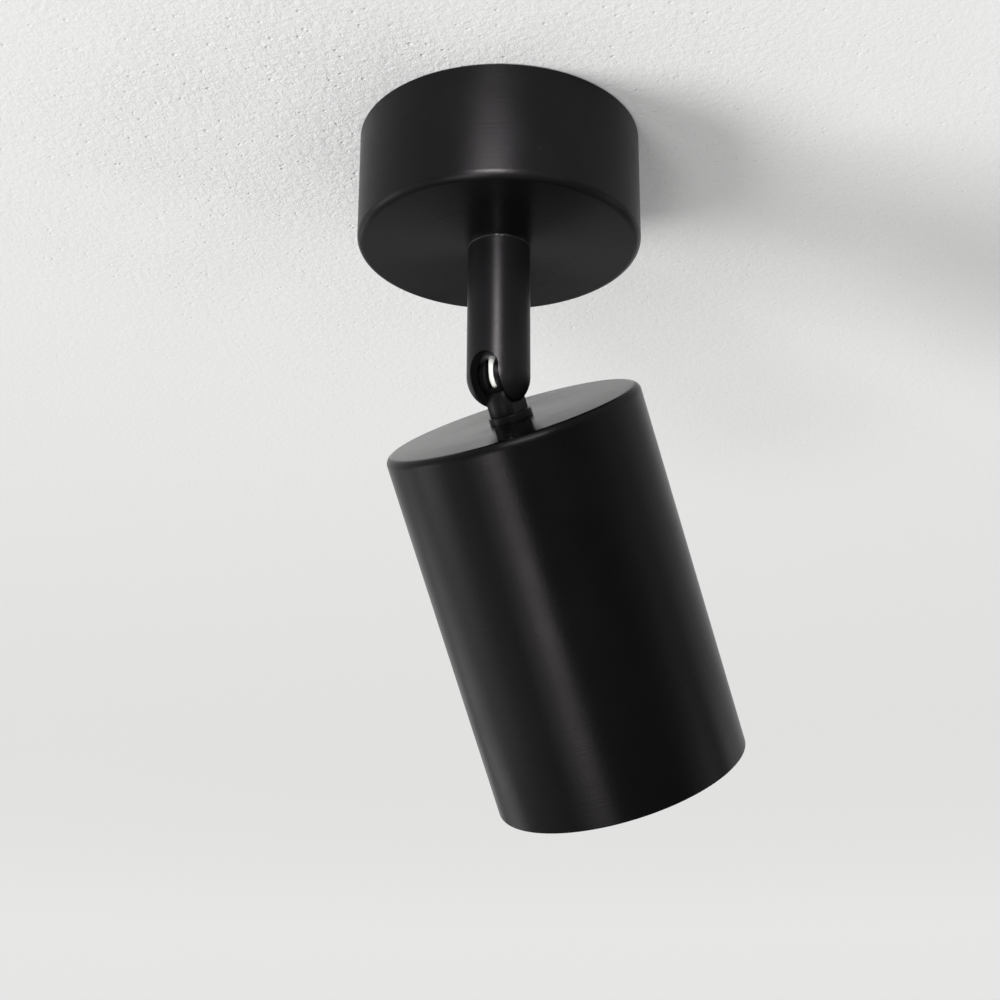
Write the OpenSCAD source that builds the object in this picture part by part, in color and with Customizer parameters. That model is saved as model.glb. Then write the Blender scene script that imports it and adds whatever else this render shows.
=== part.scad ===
// Ceiling spotlight: surface canopy, short stem with a ball swivel, cylindrical shade and reflector lamp.
// Origin: centre of the ceiling face. +Z points up into the ceiling, the bracket lies along X.

/* [Canopy] */
// Outer diameter of the canopy
canopy_d = 90; // [86:1:110]
// Height of the canopy below the ceiling
canopy_h = 38.5; // [37:0.5:60]
// Sheet thickness of the canopy
canopy_wall = 1.5; // [1:0.1:2]
// Radius of the canopy's lower edge
canopy_fillet = 2.5; // [2:0.5:6]
// Depth of the two side screws below the ceiling
side_screw_drop = 8; // [7:1:12]
// Length of a side screw
side_screw_len = 9; // [8:1:12]

/* [Ceiling bracket] */
// Width of the steel strip
strip_w = 20; // [18:1:24]
// Thickness of the steel strip
strip_t = 1.5; // [1.2:0.1:2]
// Distance between the centres of the two ceiling slots
slot_spacing = 56; // [54:1:58]
// Width of a ceiling slot
slot_w = 4.6; // [4:0.1:5]
// Length of a ceiling slot from end to end
slot_len = 13; // [8:1:14]
// Drop of the bent ends below the ceiling
tab_drop = 14; // [13:1:18]

/* [Connector] */
// Distance between two poles of the connector
pole_pitch = 7.5; // [7:0.5:8]
// Width of the connector across the poles
block_w = 15; // [14:1:18]
// Height of the connector
block_h = 11; // [10:1:13]
// Diameter of one insulated core
lead_d = 1; // [0.8:0.1:1.1]

/* [Stem] */
// Outer diameter of the stem
stem_d = 19.8; // [19:0.1:24]
// Distance from the ceiling to the centre of the ball
pivot_drop = 83.25; // [80:0.25:110]
// Thickness of the washer between canopy and stem
swivel_washer_t = 0.6; // [0.4:0.1:1.5]
// Bore of the stem above the ball
stem_bore_d = 13.2; // [13.2:0.1:13.6]
// Outer thread of the plug
plug_d = 14.4; // [14.2:0.1:15]
// Length of the plug's thread
plug_len = 10; // [6:1:14]
// Thread of the nipple
nipple_d = 10; // [9.6:0.1:10.4]
// Bore of the plug and its nipple
nipple_bore_d = 7; // [6:0.1:7.4]

/* [Swivel] */
// Diameter of the ball
ball_d = 12.8; // [12.4:0.1:12.8]
// Gap between the ball and its seat
ball_gap = 0.15; // [0.1:0.01:0.2]
// Width of the slot in the stem
swivel_slot_w = 10; // [9.6:0.1:10.4]
// Diameter of the round neck before its two flats are cut
neck_d = 13; // [12:0.1:13]
// Thickness of the neck between its flats
neck_t = 8.4; // [7.8:0.1:8.8]
// Distance from the ball's centre to the top of the shade
neck_reach = 13.6; // [13.2:0.1:20]
// Diameter of the collar between neck and shade
collar_d = 13.8; // [13:0.1:20]
// Thickness of the collar
collar_t = 2; // [1.5:0.1:2.5]
// Thread of the stud below the neck
stud_d = 9.9; // [9:0.1:9.9]
// Bore for the cores through the neck
core_bore_d = 5.5; // [4.5:0.1:5.8]
// Width of the saw cut for the sleeve in the ball
cut_w = 3.4; // [3:0.1:4]
// Depth of the saw cut below the ball's centre
cut_depth = 2.2; // [1.5:0.1:2.5]
// Diameter of the white sleeve round the cores
sleeve_d = 2.5; // [2:0.1:2.6]

/* [Shade] */
// Outer diameter of the shade
shade_d = 82.4; // [76:0.2:110]
// Length of the shade
shade_len = 121.4; // [112:0.2:180]
// Wall of the shade
shade_wall = 1.2; // [0.8:0.1:2]
// Thickness of the shade's top
shade_top_t = 1.5; // [1:0.1:2]
// Radius of the shade's upper edge
shade_fillet = 2.5; // [2:0.1:5]

/* [Lampholder and lamp] */
// Distance from the shade's rim to the face of the lamp
lamp_recess = 25; // [10:1:35]
// Diameter of the lamp's face
lamp_d = 50; // [48:0.5:51]
// Length of the lamp from its seat to its face
lamp_len = 50; // [46:0.5:54]
// Height of the ceramic lampholder
holder_h = 14; // [14:0.5:18]
// Radius of the ceramic lampholder
holder_r = 10.2; // [10.1:0.1:10.8]
// Distance of a lamp pin from the lamp's axis
pin_offset = 5; // [5:0.1:5.2]
// Turn of the lamp from its lock to its release
lamp_twist = 20; // [15:1:30]

/* [Pose in the photograph] */
// Lean of the shade from straight down
lean = 35.3; // [0:0.1:60]
// Compass direction of the lean, from +X towards +Y
lean_direction = 60.5; // [30:0.5:90]

/* [Hidden] */
$fn = 96;

// Clearances: threads and pins that share a body, flat faces that turn, and cut-through margin
fit = 0.05;
turn_gap = 0.1;
eps = 1;

// Canopy and bracket
canopy_r = canopy_d / 2;
inner_r = canopy_r - canopy_wall;
floor_z = -canopy_h + canopy_wall;
tab_slack = 0.4;
tab_out = sqrt(pow(inner_r - tab_slack, 2) - pow(strip_w / 2, 2));
tab_in = tab_out - strip_t;
slot_r = slot_w / 2;
side_screw_r = 1.45;
side_head_r = 2.9;
side_head_t = canopy_wall * 0.9;
side_socket = 2;
side_socket_depth = 1;
nut_h = 3;
nut_r = 3.4;

// Connector
poles = [-1, 0, 1];
lead_r = lead_d / 2;
block_wall = 1;
block_l = 3 * pole_pitch;
block_top = -strip_t;
tube_side = 4.4;
tube_z = block_top - block_h * 0.55;
tube_bore_r = 1.5;
clamp_screw_r = 1.1;
clamp_head_r = 1.5;
clamp_head_t = 1.2;
clamp_y = block_w / 4;
driver_slot = 0.6;
block_screw_r = 1.2;
block_head_r = 1.9;
block_head_t = 1.2;
earth_x = slot_spacing / 2 - slot_len / 2 - 4.6;
earth_screw_r = 1.9;
earth_head_r = 3.2;
earth_head_t = 1.8;
tag_t = 0.8;
tag_len = 5;
tag_barrel = 4;
tag_wall = 0.4;
tag_rim = 1.5;
tag_w = 2;
tag_drop = lead_r + tag_wall;
lead_end = block_wall + 3;

// Stem, from the top down
stem_r = stem_d / 2;
stem_top = -canopy_h - swivel_washer_t - turn_gap;
pivot_z = -pivot_drop;
bore_r = stem_bore_d / 2;
plug_r = plug_d / 2;
plug_bottom = stem_top - plug_len;
nipple_r = nipple_d / 2;
nipple_bore_r = nipple_bore_d / 2;
pan_clearance = 0.08;
wave_t = 1;
stop_t = 1.2;
wave_z = floor_z + turn_gap;
stop_z = wave_z + wave_t;
stem_nut_z = stop_z + stop_t;
nut_across = 14;
stem_nut_t = 4;
nipple_top = stem_nut_z + stem_nut_t + 1.5;
wave_rim = 4.5;
stop_rim = 5;
stop_r = 14;
stop_tab_w = 3;
stop_pin_r = 1.25;
stop_pin_h = stop_z + stop_t - floor_z + 1;
bush_flange_t = 0.8;
bush_len = 6;
bush_flange_r = 4.4;
sleeve_r = sleeve_d / 2;
sleeve_slack = 0.1;
sleeve_top = nipple_top + bush_flange_t + 2;
core_spread = lead_r * 1.25;

// Swivel
ball_r = ball_d / 2;
seat_r = ball_r + ball_gap;
ring_rise = 4.2;
ring_t = 1.4;
ring_r = sqrt(seat_r * seat_r - ring_rise * ring_rise);
ring_top = pivot_z + ring_rise + ring_t;
disc_t = 0.4;
disc_rise = 0.5;
disc_space = 0.1;
spring_top = ring_top + 2 * (disc_t + disc_rise) + 3 * disc_space;
neck_start = 4;
neck_full = 6.5;
neck_root_r = ball_r * 0.76;
mouth_r = 4.6;
mouth_depth = 3.8;
core_bore_r = core_bore_d / 2;

// Head, as distances below the ball's centre along the neck
stud_r = stud_d / 2;
plate_t = 1.5;
washer_t = 0.8;
shade_nut_t = 4;
lock_rim = 3;
lock_notch_r = 1;
collar_top = neck_reach - collar_t;
plate_d = neck_reach + shade_top_t;
washer_d = plate_d + plate_t;
shade_nut_d = washer_d + washer_t;
stud_end = shade_nut_d + shade_nut_t + 1.2;
shade_r = shade_d / 2;
rim_d = neck_reach + shade_len;
lamp_face = rim_d - lamp_recess;
seat_gap = 0.2;
holder_face = lamp_face - lamp_len - seat_gap;
holder_back = holder_face - holder_h;
shade_screw_r = 1.45;
shade_head_r = 2.6;
shade_head_t = 1.8;
contact_t = 0.6;
bracket_w = 16;
bracket_half = 20;
foot_in = 9;
holder_screw_x = 13.9;
ear_t = 5;
ear_r = 3.4;
pin_r = 1.5;
pin_head_r = 2.4;
pin_head_t = 2;
pin_neck = 5;
slot_clear = 0.2;
face_t = pin_neck - 2 * seat_gap;
cavity_r = 8.2;
cavity_d = 5.6;
contact_w = 3;
contact_l = 4;
earth_tag_x = 12.6;
sleeve_end = stud_end + bush_flange_t + 2;
joint_top = 16;
joint_end = 10;

// Lamp, as heights above its seat
cap_h = 8;
cap_r = 9.8;
cap_foot = 2;
cap_step = 1;
lamp_r = lamp_d / 2;
rim_h = 5;
reflector_h = lamp_len - rim_h;
glass_t = 2;
shell_t = 1.4;
board_h = lamp_len * 0.6;
board_t = 1.6;
source_r = 1.8;
source_t = 0.8;

// Vectors and routes
function unit(v) = v / norm(v);
function spline(p, i, t) = let (a = p[max(i - 1, 0)], b = p[i], c = p[i + 1], d = p[min(i + 2, len(p) - 1)])
    0.5 * (2 * b + (c - a) * t + (2 * a - 5 * b + 4 * c - d) * t * t + (3 * b - a - 3 * c + d) * t * t * t);
function smooth(p, steps) = concat(
    [for (i = [0 : len(p) - 2], k = [0 : steps - 1]) spline(p, i, k / steps)], [p[len(p) - 1]]);
function heading(p, i) = unit(p[min(i + 1, len(p) - 1)] - p[max(i - 1, 0)]);

// A round tube along a route, with a ring of sides at each point; side_ref is never along the route
module tube(path, r, side_ref, sides = 10) {
    rings = [for (i = [0 : len(path) - 1])
        let (t = heading(path, i), n = unit(cross(side_ref, t)), b = cross(t, n))
            for (k = [0 : sides - 1]) path[i] + r * (n * cos(360 * k / sides) + b * sin(360 * k / sides))];
    last = len(path) - 1;
    caps = [[for (k = [0 : sides - 1]) k], [for (k = [sides - 1 : -1 : 0]) last * sides + k]];
    walls = [for (i = [0 : last - 1], k = [0 : sides - 1])
        let (a = i * sides + k, b = i * sides + (k + 1) % sides)
            each [[a, a + sides, b], [b, a + sides, b + sides]]];
    polyhedron(rings, concat(caps, walls), convexity = 6);
}

// Disc or ring between two heights
module ring(outer, inner, low, high) {
    difference() {
        translate([0, 0, low]) cylinder(r = outer, h = high - low);
        if (inner > 0) translate([0, 0, low - eps]) cylinder(r = inner, h = high - low + 2 * eps);
    }
}

// Half section of a cup with a rounded outer corner at its floor, which lies at height zero
module cup_section(r, h, fillet) {
    square([r - fillet, h]);
    translate([0, fillet]) square([r, h - fillet]);
    translate([r - fillet, fillet]) intersection() {
        circle(fillet);
        translate([0, -fillet]) square(fillet);
    }
}

// Cup shell open at the top, with its floor at height zero
module cup(r, h, wall, floor_t, fillet) {
    rotate_extrude() difference() {
        cup_section(r, h, fillet);
        translate([0, floor_t]) cup_section(r - wall, h, max(fillet - wall, 0.5));
    }
}

// Hexagon nut with its bore
module nut(across, bore_r, low, high) {
    difference() {
        translate([0, 0, low]) cylinder(d = across / cos(30), h = high - low, $fn = 6);
        translate([0, 0, low - eps]) cylinder(r = bore_r, h = high - low + 2 * eps);
    }
}

// Flanged plastic bush, hung in a bore from its flange at height zero
module bush(bore) {
    difference() {
        union() {
            cylinder(r = bush_flange_r, h = bush_flange_t);
            translate([0, 0, -bush_len]) cylinder(r = bore - fit, h = bush_len);
        }
        translate([0, 0, -bush_len - eps])
            cylinder(r = sleeve_r + sleeve_slack, h = bush_len + bush_flange_t + 2 * eps);
    }
}

// Puts what follows into the leaning head, whose neck runs down -Z from the ball's centre
module in_head() {
    translate([0, 0, pivot_z]) rotate([0, 0, lean_direction]) rotate([0, -lean, 0]) children();
}

// Turns the stem to the direction of the lean
module in_stem() {
    rotate([0, 0, lean_direction]) children();
}

// Steel strip that is screwed to the ceiling; its bent ends carry the canopy
module ceiling_bracket() color([0.72, 0.74, 0.76]) difference() {
    union() {
        translate([-tab_out, -strip_w / 2, -strip_t]) cube([2 * tab_out, strip_w, strip_t]);
        for (s = [-1, 1])
            translate([s * (tab_in + tab_out) / 2, 0, -tab_drop / 2])
                cube([strip_t, strip_w, tab_drop], center = true);
    }
    for (s = [-1, 1]) {
        translate([s * slot_spacing / 2, 0, 0])
            cube([slot_len - slot_w, slot_w, 3 * strip_t], center = true);
        for (e = [-1, 1])
            translate([s * slot_spacing / 2 + e * (slot_len - slot_w) / 2, 0, -strip_t - eps])
                cylinder(r = slot_r, h = strip_t + 2 * eps);
        translate([s * (tab_in - eps), 0, -side_screw_drop]) rotate([0, s * 90, 0])
            cylinder(r = side_screw_r + fit, h = strip_t + 2 * eps);
        translate([s * pole_pitch / 2, 0, -strip_t - eps])
            cylinder(r = block_screw_r + fit, h = strip_t + 2 * eps);
    }
    translate([earth_x, 0, -strip_t - eps]) cylinder(r = earth_screw_r + fit, h = strip_t + 2 * eps);
}

// Round clinch nuts on the inner side of the bent ends
module bracket_nuts() color([0.8, 0.78, 0.7]) for (s = [-1, 1])
    translate([s * tab_in, 0, -side_screw_drop]) rotate([0, -s * 90, 0])
        ring(nut_r, side_screw_r + fit, 0, nut_h);

// Drawn metal cup under the ceiling
module canopy() color([0.09, 0.09, 0.095]) difference() {
    translate([0, 0, -canopy_h]) cup(canopy_r, canopy_h, canopy_wall, canopy_wall, canopy_fillet);
    translate([0, 0, -canopy_h - eps]) cylinder(r = nipple_r + pan_clearance, h = canopy_wall + 2 * eps);
    for (s = [-1, 1]) translate([s * canopy_r, 0, -side_screw_drop]) rotate([0, -s * 90, 0]) {
        translate([0, 0, -eps]) cylinder(r = side_screw_r + 2 * fit, h = canopy_wall + 2 * eps);
        translate([0, 0, -eps]) cylinder(r = side_head_r + 3 * fit, h = eps);
        cylinder(r1 = side_head_r + 3 * fit, r2 = side_screw_r + 2 * fit, h = side_head_t + fit);
    }
}

// Countersunk side screws with a hexagon socket
module canopy_screws() color([0.07, 0.07, 0.075]) for (s = [-1, 1])
    translate([s * (canopy_r - 2 * fit), 0, -side_screw_drop]) rotate([0, -s * 90, 0]) difference() {
        union() {
            cylinder(r1 = side_head_r, r2 = side_screw_r, h = side_head_t);
            cylinder(r = side_screw_r, h = side_screw_len);
        }
        translate([0, 0, -eps]) cylinder(d = side_socket / cos(30), h = eps + side_socket_depth, $fn = 6);
    }

// Pin welded to the canopy's floor, which ends the pan
module stop_pin() color([0.7, 0.7, 0.7])
    in_stem() translate([-stop_r, 0, floor_z]) cylinder(r = stop_pin_r, h = stop_pin_h);

// Housing of the three pole connector
module terminal_block() color([0.93, 0.92, 0.88]) difference() {
    translate([-block_l / 2, -block_w / 2, block_top - block_h]) cube([block_l, block_w, block_h]);
    for (p = poles) {
        translate([p * pole_pitch, 0, tube_z])
            cube([tube_side + 2 * fit, block_w + 2 * eps, tube_side + 2 * fit], center = true);
        for (e = [-1, 1]) translate([p * pole_pitch, e * clamp_y, block_top - block_h - eps])
            cylinder(r = clamp_head_r + 2 * fit, h = block_h / 2);
    }
    for (e = [-1, 1]) translate([e * pole_pitch / 2, 0, block_top - block_h - eps])
        cylinder(r = block_screw_r + fit, h = block_h + 2 * eps);
}

// Brass tubes that clamp the conductors
module terminal_tubes() color([0.8, 0.65, 0.35])
    for (p = poles) translate([p * pole_pitch, 0, tube_z]) difference() {
        cube([tube_side, block_w - 2 * block_wall, tube_side], center = true);
        rotate([90, 0, 0]) cylinder(r = tube_bore_r, h = block_w, center = true);
        for (e = [-1, 1]) translate([0, e * clamp_y, -tube_side])
            cylinder(r = clamp_screw_r + fit, h = tube_side);
    }

// Two slotted clamp screws in each pole
module terminal_screws() color([0.78, 0.76, 0.7]) for (p = poles, e = [-1, 1])
    translate([p * pole_pitch, e * clamp_y, tube_z - tube_side / 2]) difference() {
        union() {
            translate([0, 0, -clamp_head_t]) cylinder(r = clamp_head_r, h = clamp_head_t);
            translate([0, 0, -fit]) cylinder(r = clamp_screw_r, h = tube_side / 2 - tube_bore_r);
        }
        translate([0, 0, -clamp_head_t]) cube([4 * clamp_head_r, driver_slot, clamp_head_t], center = true);
    }

// Two screws that hold the connector under the bracket
module block_screws() color([0.78, 0.78, 0.78]) for (e = [-1, 1])
    translate([e * pole_pitch / 2, 0, block_top - block_h]) difference() {
        union() {
            translate([0, 0, -block_head_t]) cylinder(r = block_head_r, h = block_head_t);
            translate([0, 0, -fit]) cylinder(r = block_screw_r, h = block_h + strip_t - fit);
        }
        translate([0, 0, -block_head_t]) cube([4 * block_head_r, driver_slot, block_head_t], center = true);
    }

// Earth screw in the bracket, with its head below the tag
module earth_screw() color([0.8, 0.68, 0.38]) translate([earth_x, 0, -strip_t - tag_t]) difference() {
    union() {
        translate([0, 0, -earth_head_t]) cylinder(r = earth_head_r, h = earth_head_t);
        translate([0, 0, -fit]) cylinder(r = earth_screw_r, h = strip_t + tag_t - fit);
    }
    translate([0, 0, -earth_head_t]) cube([4 * earth_head_r, driver_slot, earth_head_t], center = true);
}

// Ring tag crimped to an earth core; its top face is at height zero and its barrel points along +Y
module tag(hole_r) difference() {
    union() {
        translate([0, 0, -tag_t]) cylinder(r = hole_r + tag_rim, h = tag_t);
        translate([-tag_w / 2, 0, -tag_t]) cube([tag_w, tag_len + tag_barrel, tag_t]);
        translate([0, tag_len, -tag_drop]) rotate([-90, 0, 0]) cylinder(r = tag_drop, h = tag_barrel);
    }
    translate([0, 0, -tag_t - eps]) cylinder(r = hole_r, h = tag_t + 2 * eps);
    translate([0, tag_len + tag_barrel / 2, -tag_drop]) rotate([-90, 0, 0])
        cylinder(r = lead_r + fit, h = tag_barrel);
}

// Earth point of the bracket
module earth_tag() color([0.82, 0.82, 0.8]) translate([earth_x, 0, -strip_t]) tag(earth_screw_r + fit);

// Short earth core from the tag into the third pole, on the supply side
module earth_link() color([0.45, 0.62, 0.12]) tube(smooth([
    [earth_x, tag_len + tag_barrel / 2, -strip_t - tag_drop],
    [earth_x, tag_len + tag_barrel, -strip_t - tag_drop],
    [earth_x, tag_len + tag_barrel + 1, -strip_t - tag_drop],
    [earth_x - 0.3, tag_len + tag_barrel + 3, -strip_t - tag_drop - 0.6],
    [(earth_x + pole_pitch) / 2, tag_len + tag_barrel + 5, (tube_z - strip_t - tag_drop) / 2],
    [pole_pitch, block_w / 2 + 3, tube_z], [pole_pitch, block_w / 2 - lead_end / 2, tube_z],
    [pole_pitch, block_w / 2 - lead_end, tube_z]], 4), lead_r, [0, 0.2, 1]);

// Core from a pole of the connector down to the sleeve, where it lies at an angle round the axis
module canopy_core(pole, angle) {
    x = pole * pole_pitch;
    e = core_spread * [cos(angle), sin(angle)];
    loop_y = -block_w / 2 - 5;
    tube(smooth([[x, lead_end - block_w / 2, tube_z], [x, lead_end / 2 - block_w / 2, tube_z],
        [x, -block_w / 2 - 1.5, tube_z], [x, loop_y, tube_z - 3.5], [0.75 * x, loop_y - 0.5, tube_z - 9],
        [0.3 * x + e.x, -6 + e.y, sleeve_top + 6.5], [e.x + 0.05 * x, e.y - 1, sleeve_top + 3],
        [e.x, e.y, sleeve_top + 1.2], [e.x, e.y, sleeve_top + 0.6], [e.x, e.y, sleeve_top]], 4),
        lead_r, [1, 0.02, 0.03]);
}

module live_lead() color([0.35, 0.2, 0.1]) canopy_core(-1, 150);
module neutral_lead() color([0.1, 0.25, 0.6]) canopy_core(0, 270);
module earth_lead() color([0.45, 0.62, 0.12]) canopy_core(1, 30);

// Thin washer between the canopy and the stem
module swivel_washer() color([0.75, 0.75, 0.75])
    ring(stem_r, nipple_r + pan_clearance, stem_top, stem_top + swivel_washer_t);

// Turned stem with a domed end, a spherical seat and a slot that runs round the dome
module stem_tube() color([0.09, 0.09, 0.095]) in_stem() difference() {
    union() {
        translate([0, 0, pivot_z]) cylinder(r = stem_r, h = stem_top - pivot_z);
        translate([0, 0, pivot_z]) sphere(stem_r);
    }
    translate([0, 0, pivot_z]) cylinder(r = bore_r, h = stem_top - pivot_z + eps);
    translate([0, 0, pivot_z]) sphere(seat_r);
    translate([0, 0, plug_bottom]) cylinder(r = plug_r + fit, h = plug_len + eps);
    translate([-stem_r - eps, -swivel_slot_w / 2, pivot_z - stem_r - eps])
        cube([2 * (stem_r + eps), swivel_slot_w, stem_r + eps]);
    translate([-stem_r - eps, 0, pivot_z]) rotate([0, 90, 0])
        cylinder(r = swivel_slot_w / 2, h = 2 * (stem_r + eps));
}

// Screwed plug in the top of the stem, with the hollow nipple through the canopy
module stem_plug() color([0.78, 0.66, 0.4]) difference() {
    union() {
        translate([0, 0, plug_bottom]) cylinder(r = plug_r, h = plug_len);
        translate([0, 0, stem_top - eps]) cylinder(r = nipple_r, h = nipple_top - stem_top + eps);
    }
    translate([0, 0, plug_bottom - eps])
        cylinder(r = nipple_bore_r, h = nipple_top - plug_bottom + 2 * eps);
}

// Tube that passes the plug's thrust down to the springs
module spacer_tube() color([0.7, 0.7, 0.7])
    ring(bore_r - turn_gap, ring_r + 2 * disc_space, spring_top, plug_bottom);

// One conical disc spring, inner edge at the low side
module disc_spring() rotate_extrude() polygon([[ring_r + disc_space, 0], [bore_r - turn_gap, disc_rise],
    [bore_r - turn_gap, disc_rise + disc_t], [ring_r + disc_space, disc_t]]);

// Pair of disc springs set back to back
module disc_springs() color([0.5, 0.5, 0.52]) {
    translate([0, 0, ring_top + disc_space]) disc_spring();
    translate([0, 0, spring_top - disc_space]) mirror([0, 0, 1]) disc_spring();
}

// Ring that presses on the ball
module pressure_ring() color([0.45, 0.45, 0.46])
    ring(bore_r - turn_gap, ring_r, pivot_z + ring_rise, ring_top);

// Spring washer on the canopy's floor
module wave_washer() color([0.7, 0.7, 0.72]) ring(nipple_r + wave_rim, nipple_r + fit, wave_z, stop_z);

// Washer that turns with the nipple and meets the stop pin with its tab
module stop_washer() color([0.7, 0.7, 0.72]) in_stem() difference() {
    union() {
        translate([0, 0, stop_z]) cylinder(r = nipple_r + stop_rim, h = stop_t);
        translate([0, -stop_tab_w / 2, stop_z]) cube([stop_r + stop_pin_r, stop_tab_w, stop_t]);
    }
    translate([0, 0, stop_z - eps]) cylinder(r = nipple_r + fit, h = stop_t + 2 * eps);
}

// Nut that holds the nipple in the canopy
module stem_nut() color([0.78, 0.66, 0.4])
    nut(nut_across, nipple_r + fit, stem_nut_z, stem_nut_z + stem_nut_t);

// Bush that keeps the sleeve off the nipple's edge
module nipple_bush() color([0.9, 0.9, 0.88]) translate([0, 0, nipple_top]) bush(nipple_bore_r);

// White heat resistant sleeve round the three cores: its straight stretch in the stem
module stem_sleeve() color([0.95, 0.95, 0.93])
    translate([0, 0, pivot_z + joint_top]) cylinder(r = sleeve_r, h = sleeve_top - pivot_z - joint_top);

// Place of a point given in the head, sideways and down the neck, in the plane of the lean
function from_head(n, d) = [n * cos(lean) + d * sin(lean), 0, n * sin(lean) - d * cos(lean)];

// The sleeve's bent stretch: down through the slot's front, into the saw cut and the neck's bore
module joint_sleeve() color([0.95, 0.95, 0.93]) translate([0, 0, pivot_z]) rotate([0, 0, lean_direction])
    tube(smooth([[0, 0, joint_top], [0, 0, joint_top - 1], [0, 0, joint_top - 2],
        [-0.8, 0, 11.5], [-2.2, 0, 8.5], [-3.3, 0, 5.2], [-3.7, 0, 2.4],
        from_head(-3.4, -0.6), from_head(-3.1, 1.8), from_head(-2, 4.2), from_head(-0.7, 6.6),
        from_head(0, joint_end - 1.6), from_head(0, joint_end - 0.8), from_head(0, joint_end)], 3),
        sleeve_r, [0, 1, 0], 12);

// The sleeve's straight stretch in the neck
module neck_sleeve() color([0.95, 0.95, 0.93])
    in_head() translate([0, 0, -sleeve_end]) cylinder(r = sleeve_r, h = sleeve_end - joint_end);

// Ball with its saw cut, neck with two flats, and hollow stud
module ball_neck() color([0.13, 0.13, 0.135]) in_head() difference() {
    union() {
        sphere(ball_r);
        intersection() {
            union() {
                translate([0, 0, -neck_full])
                    cylinder(r1 = neck_d / 2, r2 = neck_root_r, h = neck_full - neck_start);
                translate([0, 0, -collar_top]) cylinder(r = neck_d / 2, h = collar_top - neck_full);
            }
            cube([2 * neck_d, neck_t, 4 * neck_d], center = true);
        }
        translate([0, 0, -stud_end]) cylinder(r = stud_r, h = stud_end - neck_start);
    }
    translate([-ball_r - eps, -cut_w / 2, -cut_depth])
        cube([2 * (ball_r + eps), cut_w, ball_r + cut_depth + eps]);
    translate([0, 0, -cut_depth - mouth_depth])
        cylinder(r1 = core_bore_r, r2 = mouth_r, h = mouth_depth);
    translate([0, 0, -stud_end - eps]) cylinder(r = core_bore_r, h = stud_end - cut_depth + eps);
}

// Thin round collar between the neck and the shade
module neck_collar() color([0.11, 0.11, 0.115])
    in_head() ring(collar_d / 2, stud_r + fit, -neck_reach, -collar_top);

// Drawn cylinder, open below
module shade() color([0.09, 0.09, 0.095]) in_head() difference() {
    translate([0, 0, -neck_reach]) mirror([0, 0, 1])
        cup(shade_r, shade_len, shade_wall, shade_top_t, shade_fillet);
    translate([0, 0, -plate_d - eps]) cylinder(r = stud_r + 2 * fit, h = shade_top_t + 2 * eps);
}

// Strip bent down from the shade's top to carry the lampholder
module holder_bracket() color([0.72, 0.74, 0.76]) in_head() difference() {
    union() {
        translate([-bracket_half, -bracket_w / 2, -washer_d]) cube([2 * bracket_half, bracket_w, plate_t]);
        for (s = [-1, 1]) {
            translate([s * (bracket_half - plate_t / 2), 0, -(plate_d + holder_back) / 2])
                cube([plate_t, bracket_w, holder_back - plate_d], center = true);
            translate([s * (bracket_half + foot_in) / 2, 0, -holder_back + plate_t / 2])
                cube([bracket_half - foot_in, bracket_w, plate_t], center = true);
        }
    }
    translate([0, 0, -washer_d - eps]) cylinder(r = stud_r + 2 * fit, h = plate_t + 2 * eps);
    translate([earth_tag_x, 0, -washer_d - eps]) cylinder(r = shade_screw_r + fit, h = plate_t + 2 * eps);
    for (s = [-1, 1]) translate([s * holder_screw_x, 0, -holder_back - eps])
        cylinder(r = shade_screw_r + fit, h = plate_t + 2 * eps);
}

// Toothed washer under the shade's nut
module lock_washer() color([0.7, 0.7, 0.72]) in_head() difference() {
    ring(stud_r + lock_rim, stud_r + fit, -shade_nut_d, -washer_d);
    for (a = [0 : 30 : 330]) rotate([0, 0, a]) translate([stud_r + lock_rim, 0, -shade_nut_d - eps])
        cylinder(r = lock_notch_r, h = washer_t + 2 * eps);
}

// Nut that clamps shade and bracket on the stud
module shade_nut() color([0.78, 0.66, 0.4]) in_head()
    nut(nut_across, stud_r + fit, -shade_nut_d - shade_nut_t, -shade_nut_d);

// Bush that keeps the sleeve off the stud's edge
module stud_bush() color([0.9, 0.9, 0.88])
    in_head() translate([0, 0, -stud_end]) mirror([0, 0, 1]) bush(core_bore_r);

// Earth point of the shade, on the bracket
module shade_earth_tag() color([0.82, 0.82, 0.8])
    in_head() translate([earth_tag_x, 0, -washer_d]) tag(shade_screw_r + fit);

// Cap screw with a cross slot; its head lies below height zero and its shank points up
module small_screw(len) difference() {
    union() {
        translate([0, 0, -shade_head_t]) cylinder(r = shade_head_r, h = shade_head_t);
        translate([0, 0, -fit]) cylinder(r = shade_screw_r, h = len + fit);
    }
    for (a = [0, 90]) rotate([0, 0, a]) translate([0, 0, -shade_head_t])
        cube([shade_head_r * 1.3, driver_slot, shade_head_t], center = true);
}

module shade_earth_screw() color([0.8, 0.68, 0.38]) in_head()
    translate([earth_tag_x, 0, -washer_d - tag_t]) small_screw(tag_t + plate_t - fit);

// Two screws that hold the lampholder's ears to the bracket's feet
module holder_screws() color([0.78, 0.78, 0.78]) in_head() for (s = [-1, 1])
    translate([s * holder_screw_x, 0, -holder_back - ear_t]) small_screw(ear_t + plate_t - fit);

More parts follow.
